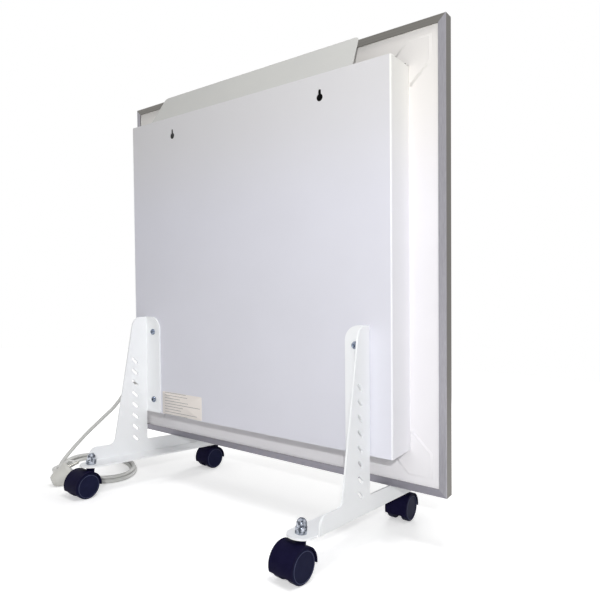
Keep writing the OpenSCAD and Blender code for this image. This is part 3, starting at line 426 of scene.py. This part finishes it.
def powder_coat(name, low, high, roughness, upper_tone=None):
    """Sprayed and baked polyester powder: the colour wanders a little between two tones over
    some centimetres, and the skin has orange-peel waves of about 1.5 mm and a finer dust of 0.3 mm.
    Where an upper tone is given, the colour turns towards it from 0.42 to 0.6 m above the floor."""
    coat, shader = start_finish(name, Roughness=roughness, IOR=1.5)
    at = add(coat, "ShaderNodeTexCoord")
    drift = add(coat, "ShaderNodeTexNoise", [
        ("Vector", at.outputs["Object"]), ("Scale", 9.0), ("Detail", 3.0)
    ])
    tone = add(coat, "ShaderNodeMix", [
        ("Factor", drift.outputs["Fac"]), ("A", linear(low)), ("B", linear(high))
    ], data_type="RGBA")
    if upper_tone:
        place = add(coat, "ShaderNodeSeparateXYZ", [("Vector", at.outputs["Object"])])
        share = add(coat, "ShaderNodeMapRange", [
            ("Value", place.outputs["Z"]), ("From Min", 0.42), ("From Max", 0.6)
        ], interpolation_type="SMOOTHSTEP")
        tone = add(coat, "ShaderNodeMix", [
            ("Factor", share.outputs["Result"]), ("A", tone.outputs["Result"]),
            ("B", linear(upper_tone)),
        ], data_type="RGBA")
    wire(coat, tone.outputs["Result"], shader.inputs["Base Color"])
    peel = add(coat, "ShaderNodeTexNoise", [
        ("Vector", at.outputs["Object"]), ("Scale", 650.0), ("Detail", 1.0)
    ])
    dust = add(coat, "ShaderNodeTexNoise", [
        ("Vector", at.outputs["Object"]), ("Scale", 3300.0), ("Detail", 0.0)
    ])
    waves = add(coat, "ShaderNodeBump", [
        ("Height", peel.outputs["Fac"]), ("Strength", 0.25), ("Distance", 0.05 * MM)
    ])
    skin = add(coat, "ShaderNodeBump", [
        ("Height", dust.outputs["Fac"]), ("Strength", 0.2), ("Distance", 0.02 * MM),
        ("Normal", waves.outputs["Normal"]),
    ])
    wire(coat, skin.outputs["Normal"], shader.inputs["Normal"])
    return coat


dress(
    powder_coat("powder_coat_cover", "#dbdbe3", "#e1e1ea", 0.62, upper_tone="#dad9db"), "cover_back"
)
# The bent flap is the same coat as the cover's back, coloured greyer as painted shade
dress(powder_coat("powder_coat_flap_painted_shade", "#bebebc", "#c7c7c3", 0.5), "cover_flap")
# The side walls are the same coat as the cover's back, coloured whiter as painted light
dress(
    powder_coat("powder_coat_wall_painted_light", "#eeeef3", "#f4f3f7", 0.62, upper_tone="#f1f0ec"),
    "cover_side_left", "cover_side_right",
)

# ---------------------------------------------------------------------------
# Rating plate. A 0.3 mm polyester label, 95 x 38 mm with round corners, stuck low on the cover's
# back beside the right leg. It is bare but for a few ruled lines, as on a blank form.
# ---------------------------------------------------------------------------
lean = math.radians(6)
panel_foot = (0.0, -45.141, 69.0)
cover_face = 48.0
plate_low, plate_high = np.array([85.0, 53.0]), np.array([180.0, 91.3])
plate_corner, plate_lift, plate_edge = 2.5, 0.3, 0.1


def on_panel(x, out, up):
    """A place on the leaning panel: x stays, and the ways out of its back and up along it are
    turned by the lean about the panel's foot."""
    return np.stack([
        x + panel_foot[0],
        out * math.cos(lean) + up * math.sin(lean) + panel_foot[1],
        up * math.cos(lean) - out * math.sin(lean) + panel_foot[2],
    ], axis=-1)


def plate_outline(angles, inset):
    """A rectangle with round corners: each corner's centre plus its radius along the angle, where
    the corner is the one that the angle points to. Inset draws the outline in by that much."""
    half = (plate_high - plate_low) / 2
    way = np.stack([np.cos(angles), np.sin(angles)], axis=-1)
    return (half - plate_corner) * np.sign(way) + (plate_corner - inset) * way


# Rings from a small one at the plate's middle, out over its rounded edge and down to 0.01 mm off
# the cover
plate_angles = np.radians([90 * quarter + a for quarter in range(4) for a in range(3, 90, 12)])
plate_rings = np.stack([
    plate_outline(plate_angles, 0.0) * 0.02, plate_outline(plate_angles, plate_edge),
    plate_outline(plate_angles, 0.0), plate_outline(plate_angles, 0.0),
])
plate_height = np.array([plate_lift, plate_lift, plate_lift - plate_edge, 0.01])
plate_places = (plate_high + plate_low) / 2 + plate_rings
plate_out = cover_face + np.broadcast_to(plate_height[:, None], plate_places.shape[:2])
plate_grid = on_panel(plate_places[..., 0], plate_out, plate_places[..., 1])

# Printed polyester film, cream white. Each row is ruled 0.8 mm thick, from the margin at the far
# side to a stop of its own. The map counts millimetres on the plate.
row_height, rule_share = 4.6, 0.17
rule_margin, first_stop, last_stop = 89.0, 4.0, 55.0
film, film_shader = start_finish("polyester_label_film", Roughness=0.35, IOR=1.6)
film_uv = add(film, "ShaderNodeUVMap", uv_map="along")
film_place = add(film, "ShaderNodeSeparateXYZ", [("Vector", film_uv.outputs["UV"])])
film_rows = add(film, "ShaderNodeMath", [
    (0, film_place.outputs["Y"]), (1, row_height)
], operation="DIVIDE")
film_row = add(film, "ShaderNodeMath", [(0, film_rows.outputs[0])], operation="FLOOR")
film_in_row = add(film, "ShaderNodeMath", [(0, film_rows.outputs[0])], operation="FRACT")
film_ink = add(film, "ShaderNodeMath", [
    (0, film_in_row.outputs[0]), (1, rule_share)
], operation="LESS_THAN")
film_chance = add(film, "ShaderNodeTexWhiteNoise", [
    ("W", film_row.outputs[0])
], noise_dimensions="1D")
film_stop = add(film, "ShaderNodeMapRange", [
    ("Value", film_chance.outputs["Value"]), ("To Min", first_stop), ("To Max", last_stop)
])
film_past_stop = add(film, "ShaderNodeMath", [
    (0, film_place.outputs["X"]), (1, film_stop.outputs["Result"])
], operation="GREATER_THAN")
film_in_margin = add(film, "ShaderNodeMath", [
    (0, film_place.outputs["X"]), (1, rule_margin)
], operation="LESS_THAN")
film_width = add(film, "ShaderNodeMath", [
    (0, film_past_stop.outputs[0]), (1, film_in_margin.outputs[0])
], operation="MULTIPLY")
film_line = add(film, "ShaderNodeMath", [
    (0, film_ink.outputs[0]), (1, film_width.outputs[0])
], operation="MULTIPLY")
film_tone = add(film, "ShaderNodeMix", [
    ("Factor", film_line.outputs[0]), ("A", linear("#e9e2dc")), ("B", linear("#8d8a8a"))
], data_type="RGBA")
wire(film, film_tone.outputs["Result"], film_shader.inputs["Base Color"])
plate_mesh = grid_mesh(
    "blank_rating_plate", plate_grid, close_v=True, uv=plate_places - plate_low, capped=True
)
add_piece("blank_rating_plate", plate_mesh, film, "heater")

# ---------------------------------------------------------------------------
# Fixings of the cover, the frame and the legs. The rivets, clinch nuts and corner keys are
# zinc-plated steel, bright with a faint yellow-blue haze. The leg screws' zinc is coloured darker,
# shifting from grey to blue in patches of 2 mm, as painted dark reflections.
# ---------------------------------------------------------------------------
zinc = plated("zinc_plated_steel", 0.34, "#a9adb6", "#c9c8c2", 260.0, 4.0)
dress(zinc, "cover_rivets", "clinch_nuts", "corner_keys")
# The leg screws' dark patchy tones are painted dark reflections
dress(
    plated("zinc_painted_dark_reflections", 0.2, "#464f60", "#a4adbd", 480.0, 2.0, patchy=True),
    "leg_screws_left", "leg_screws_right",
)

# ---------------------------------------------------------------------------
# Panel. A closed cassette: a white enamelled radiating sheet in front, a mat with its heating
# track, mineral board and a white steel back pan, all held in a mitred frame of anodised aluminium.
# ---------------------------------------------------------------------------
panel_side = 600.0
pan_coat = powder_coat("powder_coat_pan", "#e8e6ea", "#f0eef0", 0.42, upper_tone="#e6e3e0")
dress(pan_coat, "back_pan")

# Inside the duct the pan is coloured near black as painted shade, for the dark inside the duct. It
# reaches the side walls and stops a little short of the cover's lower edge.
duct_half, duct_low, duct_high = 246.0, 135.0, 618.0
pan_shader = pan_coat.node_tree.nodes["Principled BSDF"]
pan_white = pan_shader.inputs["Base Color"].links[0].from_socket
pan_at = add(pan_coat, "ShaderNodeTexCoord")
pan_place = add(pan_coat, "ShaderNodeSeparateXYZ", [("Vector", pan_at.outputs["Object"])])
pan_across = add(pan_coat, "ShaderNodeMath", [
    (0, pan_place.outputs["X"]), (1, 0.0), (2, duct_half * MM)
], operation="COMPARE")
pan_upward = add(pan_coat, "ShaderNodeMath", [
    (0, pan_place.outputs["Z"]),
    (1, (duct_high + duct_low) / 2 * MM), (2, (duct_high - duct_low) / 2 * MM),
], operation="COMPARE")
pan_duct_shade = add(pan_coat, "ShaderNodeMath", [
    (0, pan_across.outputs[0]), (1, pan_upward.outputs[0])
], operation="MULTIPLY")
pan_tone = add(pan_coat, "ShaderNodeMix", [
    ("Factor", pan_duct_shade.outputs[0]), ("A", pan_white), ("B", linear("#0e0e10"))
], data_type="RGBA")
wire(pan_coat, pan_tone.outputs["Result"], pan_shader.inputs["Base Color"])

# The die draws the pan's sheet down over some millimetres round each corner's raised band, so the
# band has a soft flank. Its outline is given from the pan's own corner, and ends at the duct cover.
band_edge = np.array([(49.0, 77.28), (23.0, 51.28), (23.0, 23.0), (51.28, 23.0), (79.78, 51.5)])
band_height, flank_width, flank_depth, pan_face = 0.8, 3.6, 0.1, -2.4


def band_flank(edge, share):
    """The flank's surface. Along the edge's points its foot moves out by share of the flank's
    width, on the mitre of the two sides' normals, while its height falls as half a cosine wave."""
    way = np.diff(edge, axis=0)
    normal = np.stack([way[:, 1], -way[:, 0]], axis=1) / np.linalg.norm(way, axis=1, keepdims=True)
    before, after = np.vstack([normal[:1], normal]), np.vstack([normal, normal[-1:]])
    mitre = (before + after) / (1 + (before * after).sum(axis=1, keepdims=True))
    place = edge[:, None, :] + flank_width * share[None, :, None] * mitre[:, None, :]
    fall = band_height * (1 + np.cos(np.pi * share)) / 2
    return place[..., 0], place[..., 1], np.broadcast_to(pan_face + fall, place.shape[:2])


# The section runs down the flank and back just under the pan's face
flank_shares = np.linspace(0, 1, 9)
flank_x, flank_up, flank_out = band_flank(band_edge, flank_shares)
flank_x, flank_up = (np.hstack([a, a[:, -1:], a[:, :1]]) for a in (flank_x, flank_up))
flank_back = np.full((len(band_edge), 2), pan_face - flank_depth)
flank_out = np.hstack([flank_out, flank_back])
for side, side_name in ((-1, "left"), (1, "right")):
    for up_name, up in (("low", flank_up), ("high", panel_side - flank_up)):
        name = f"pan_band_{side_name}_{up_name}"
        band_grid = on_panel(side * (panel_side / 2 - flank_x), flank_out, up)
        band = grid_mesh(name, band_grid, close_v=True, capped=True)
        add_piece(name, band, pan_coat, "heater")


def anodised(name, run, low, high, painted_dark_side="#67645f"):
    """Extruded and anodised aluminium. The noise is stretched some 200 times along the bar, into
    die lines about 1 mm apart, coarser than the real ones so that they show. Run is its scale on X,
    Y and Z. The outer side of an upright bar, whose normal is along X, is coloured darker as a
    painted dark reflection."""
    metal, shader = start_finish(name, Metallic=1.0, Roughness=0.4)
    at = add(metal, "ShaderNodeTexCoord")
    along = add(metal, "ShaderNodeMapping", [("Vector", at.outputs["Object"]), ("Scale", run)])
    lines = add(metal, "ShaderNodeTexNoise", [
        ("Vector", along.outputs["Vector"]), ("Scale", 1.0), ("Detail", 3.0)
    ])
    tone = add(metal, "ShaderNodeMix", [
        ("Factor", lines.outputs["Fac"]), ("A", linear(low)), ("B", linear(high))
    ], data_type="RGBA")
    faces = add(metal, "ShaderNodeSeparateXYZ", [("Vector", at.outputs["Normal"])])
    turned = add(metal, "ShaderNodeMath", [(0, faces.outputs["X"])], operation="ABSOLUTE")
    outer = add(metal, "ShaderNodeMath", [
        (0, turned.outputs[0]), (1, 0.9)
    ], operation="GREATER_THAN")
    skin = add(metal, "ShaderNodeMix", [
        ("Factor", outer.outputs[0]), ("A", tone.outputs["Result"]), ("B", linear(painted_dark_side))
    ], data_type="RGBA")
    wire(metal, skin.outputs["Result"], shader.inputs["Base Color"])
    relief = add(metal, "ShaderNodeBump", [
        ("Height", lines.outputs["Fac"]), ("Strength", 0.2), ("Distance", 0.03 * MM)
    ])
    wire(metal, relief.outputs["Normal"], shader.inputs["Normal"])
    return metal


level_run, upright_run = (4.0, 900.0, 900.0), (900.0, 900.0, 4.0)
# The top bar is coloured much darker and the bottom bar a little darker than the uprights, as
# painted shade on the one aluminium
dress(anodised("anodised_bar_top", level_run, "#6f6d69", "#85837f"), "frame_top")
dress(anodised("anodised_bar_bottom", level_run, "#817f87", "#9a98a0"), "frame_bottom")
dress(
    anodised("anodised_bar_upright", upright_run, "#8d8c92", "#a8a6ac"),
    "frame_left", "frame_right",
)

# White enamel of the radiating sheet: a stipple of 1.4 mm that scatters the light, coarser than the
# real one so that it shows
enamel, enamel_shader = start_finish(
    "radiating_enamel", Roughness=0.55, IOR=1.5, Base_Color=linear("#ecebea")
)
enamel_at = add(enamel, "ShaderNodeTexCoord")
enamel_stipple = add(enamel, "ShaderNodeTexVoronoi", [
    ("Vector", enamel_at.outputs["Object"]), ("Scale", 700.0)
])
enamel_bump = add(enamel, "ShaderNodeBump", [
    ("Height", enamel_stipple.outputs["Distance"]), ("Strength", 0.35), ("Distance", 0.08 * MM)
])
wire(enamel, enamel_bump.outputs["Normal"], enamel_shader.inputs["Normal"])
dress(enamel, "front_panel")

# The mat's track is a carbon print on a dark polyester carrier, with a grain of 3 mm
carbon, carbon_shader = start_finish("carbon_printed_foil", Roughness=0.6, IOR=1.6)
carbon_at = add(carbon, "ShaderNodeTexCoord")
carbon_grain = add(carbon, "ShaderNodeTexNoise", [
    ("Vector", carbon_at.outputs["Object"]), ("Scale", 350.0), ("Detail", 4.0)
])
carbon_tone = add(carbon, "ShaderNodeMix", [
    ("Factor", carbon_grain.outputs["Fac"]), ("A", linear("#262320")), ("B", linear("#4a4540"))
], data_type="RGBA")
wire(carbon, carbon_tone.outputs["Result"], carbon_shader.inputs["Base Color"])
dress(carbon, "heating_mat")

# Pressed mineral wool: matted fibres about 8 mm long lie flat in the board
wool, wool_shader = start_finish("pressed_mineral_wool", Roughness=0.95, IOR=1.45)
wool_at = add(wool, "ShaderNodeTexCoord")
wool_mat = add(wool, "ShaderNodeMapping", [
    ("Vector", wool_at.outputs["Object"]), ("Scale", (120.0, 900.0, 500.0))
])
wool_fibre = add(wool, "ShaderNodeTexNoise", [
    ("Vector", wool_mat.outputs["Vector"]), ("Scale", 1.0), ("Detail", 5.0), ("Distortion", 1.5)
])
wool_tone = add(wool, "ShaderNodeMix", [
    ("Factor", wool_fibre.outputs["Fac"]), ("A", linear("#bfb48f")), ("B", linear("#e6dec2"))
], data_type="RGBA")
wire(wool, wool_tone.outputs["Result"], wool_shader.inputs["Base Color"])
wool_bump = add(wool, "ShaderNodeBump", [
    ("Height", wool_fibre.outputs["Fac"]), ("Strength", 0.6), ("Distance", 0.4 * MM)
])
wire(wool, wool_bump.outputs["Normal"], wool_shader.inputs["Normal"])
dress(wool, "insulation_board")

# ---------------------------------------------------------------------------
# Rubber and foam. A white closed-cell strip seals the pan to the frame, a dark heat-resistant
# grommet lines the hole where the mains cores enter the pan, and the cores' sheaths are silicone,
# extruded, with a chalky bloom.
# ---------------------------------------------------------------------------


def elastomer(name, low, high, cell):
    """Moulded or foamed rubber: matt, with cells or flow marks of a given size in millimetres."""
    rubber, shader = start_finish(name, Roughness=0.8, IOR=1.5)
    at = add(rubber, "ShaderNodeTexCoord")
    cells = add(rubber, "ShaderNodeTexVoronoi", [
        ("Vector", at.outputs["Object"]), ("Scale", 1000.0 / cell)
    ])
    tone = add(rubber, "ShaderNodeMix", [
        ("Factor", cells.outputs["Distance"]), ("A", linear(low)), ("B", linear(high))
    ], data_type="RGBA")
    wire(rubber, tone.outputs["Result"], shader.inputs["Base Color"])
    bump = add(rubber, "ShaderNodeBump", [
        ("Height", cells.outputs["Distance"]), ("Strength", 0.4), ("Distance", 0.1 * MM)
    ])
    wire(rubber, bump.outputs["Normal"], shader.inputs["Normal"])
    return rubber


dress(elastomer("closed_cell_foam", "#d8d8d6", "#f0f0ee", 0.6), "pan_seal")
dress(elastomer("silicone_rubber_dark", "#343434", "#484848", 0.9), "lead_grommet")
dress(elastomer("silicone_core_sheath", "#9c4634", "#bd5c46", 1.2), "internal_wires")

# ---------------------------------------------------------------------------
# Terminals and cut-out. Steatite bodies, pressed and fired with a thin glaze, and a brass earth
# screw turned from bar.
# ---------------------------------------------------------------------------
steatite, steatite_shader = start_finish("glazed_steatite", Roughness=0.22, IOR=1.55)
steatite_at = add(steatite, "ShaderNodeTexCoord")
steatite_body = add(steatite, "ShaderNodeTexNoise", [
    ("Vector", steatite_at.outputs["Object"]), ("Scale", 220.0), ("Detail", 4.0)
])
steatite_tone = add(steatite, "ShaderNodeMix", [
    ("Factor", steatite_body.outputs["Fac"]), ("A", linear("#ddd6c4")), ("B", linear("#efebdf"))
], data_type="RGBA")
wire(steatite, steatite_tone.outputs["Result"], steatite_shader.inputs["Base Color"])
dress(steatite, "terminal_block", "thermal_cutout")
dress(plated("turned_brass", 0.28, "#a88f56", "#d6bd7c", 400.0, 3.0), "earth_screw")

# ---------------------------------------------------------------------------
# Legs. Each is one sheet of 2.5 mm steel with a row of slots cut on the diagonal. It is folded into
# a flange that is screwed to the cover, an upright web, and two level feet with round pads, and it
# is powder coated a cooler white than the panel.
# ---------------------------------------------------------------------------
dress(powder_coat("powder_coat_leg", "#f1f3f5", "#f7f8f9", 0.42), "leg_left", "leg_right")

# ---------------------------------------------------------------------------
# Casters. Twin-wheel furniture casters: wheels and hood are moulded nylon, black with a faint blue
# tint, on a zinc-plated axle. Each turns on a steel stud, which a bright cap nut holds on its foot.
# ---------------------------------------------------------------------------
caster_places = ("front_left", "front_right", "back_left", "back_right")


def nylon(name, low, high, roughness):
    """Moulded nylon: the colour wanders between two dark tones over 8 mm, and the skin has the
    mould's grain of 0.4 mm."""
    plastic, shader = start_finish(
        name, Roughness=roughness, IOR=1.53, Specular_IOR_Level=0.02
    )
    at = add(plastic, "ShaderNodeTexCoord")
    flow = add(plastic, "ShaderNodeTexNoise", [
        ("Vector", at.outputs["Object"]), ("Scale", 120.0), ("Detail", 3.0)
    ])
    tone = add(plastic, "ShaderNodeMix", [
        ("Factor", flow.outputs["Fac"]), ("A", linear(low)), ("B", linear(high))
    ], data_type="RGBA")
    wire(plastic, tone.outputs["Result"], shader.inputs["Base Color"])
    grain = add(plastic, "ShaderNodeTexNoise", [
        ("Vector", at.outputs["Object"]), ("Scale", 2500.0)
    ])
    bump = add(plastic, "ShaderNodeBump", [
        ("Height", grain.outputs["Fac"]), ("Strength", 0.25), ("Distance", 0.03 * MM)
    ])
    wire(plastic, bump.outputs["Normal"], shader.inputs["Normal"])
    return plastic


hood_nylon = nylon("nylon_hood", "#0f0d26", "#1b1934", 0.42)
wheel_nylon = nylon("nylon_wheel", "#181a31", "#22243e", 0.3)
# The bead's paler nylon is a painted highlight
rim_highlight_nylon = nylon("nylon_rim_painted_highlight", "#3e415a", "#565a72", 0.45)
for place in caster_places:
    dress(hood_nylon, place + "_hood")
    dress(wheel_nylon, place + "_wheel_outer", place + "_wheel_inner")
    dress(zinc, place + "_axle")

# Each wheel's outer face has a fine bead round its edge, coloured paler than the face as a painted
# highlight. Two casters stand swivelled by some degrees, and their beads with them.
bead_radius, bead_thickness, wheel_half = 16.4, 0.4, 4.85
swivelled = {"back_left": 5.0, "front_right": 6.0}


def ring_grid(centre, axle, radius, thickness, around=72, over=8):
    """A bead round an axle: centre + (R + r cos b)(u cos a + v sin a) + r sin b along the axle,
    where u and v are square to the axle and a runs round the wheel while b runs round the bead."""
    upward = np.array([0.0, 0.0, 1.0])
    a = np.linspace(0, 2 * np.pi, around, endpoint=False)[:, None, None]
    b = np.linspace(0, 2 * np.pi, over, endpoint=False)[None, :, None]
    spoke = np.cross(axle, upward) * np.cos(a) + upward * np.sin(a)
    return centre + (radius + thickness * np.cos(b)) * spoke + thickness * np.sin(b) * axle


for place in caster_places:
    turn = math.radians(swivelled.get(place, 0.0))
    axle = np.array([math.cos(turn), -math.sin(turn), 0.0])
    middle = {
        half: np.mean(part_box(f"{place}_wheel_{half}"), axis=0) / MM for half in ("outer", "inner")
    }
    for half, other in (("outer", "inner"), ("inner", "outer")):
        out = math.copysign(1.0, (middle[half] - middle[other]) @ axle)
        name = f"{place}_wheel_bead_{half}"
        bead_centre = middle[half] + out * wheel_half * axle
        bead = grid_mesh(
            name, ring_grid(bead_centre, axle, bead_radius, bead_thickness),
            close_u=True, close_v=True,
        )
        add_piece(name, bead, rim_highlight_nylon, f"{place}_{half}_wheel")

# Cap nuts: nickel on steel, polished, with dark hazy patches of 4 mm painted as dark reflections
dress(
    plated("nickel_steel_painted_reflections", 0.12, "#4a4f58", "#b9bec8", 260.0, 2.0, patchy=True),
    "cap_nuts",
)
# Steel studs, coloured near black as painted shade for the shade under the feet, with a haze
# between two dark tones
dress(plated("steel_painted_shade", 0.45, "#1c1d21", "#4f5157", 600.0, 3.0), "caster_studs")
